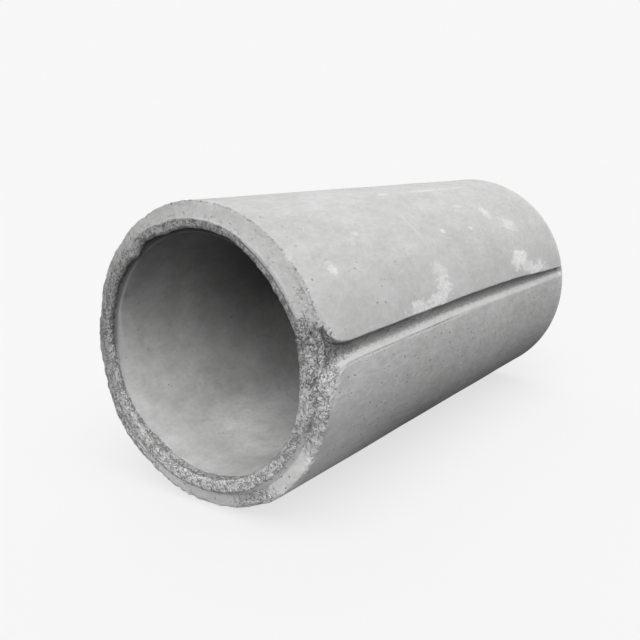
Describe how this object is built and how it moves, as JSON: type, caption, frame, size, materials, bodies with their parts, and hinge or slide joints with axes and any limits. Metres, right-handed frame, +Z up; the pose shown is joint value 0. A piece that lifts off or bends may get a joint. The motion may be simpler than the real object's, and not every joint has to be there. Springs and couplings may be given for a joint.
{
  "type": "concrete sewer pipe",
  "caption": "Round concrete sewer pipe lying on its side, with a plain bore, a stepped tongue at one end, a matching socket at the other and a mould seam groove along each side.",
  "frame": {"origin": "on the ground under the middle of the pipe, which lies on its side", "axes": "+X along the pipe from the tongue end to the socket end, +Z up; the pipe rests along a line at Z = 0"},
  "size_m": [1.015, 0.5, 0.5],
  "materials": {
    "concrete": "dry cast concrete, matt, smooth on the barrel and in the bore and rough and pitted at the ends"
  },
  "bodies": {
    "root": {"pipe": "concrete"}
  },
  "joints": []
}
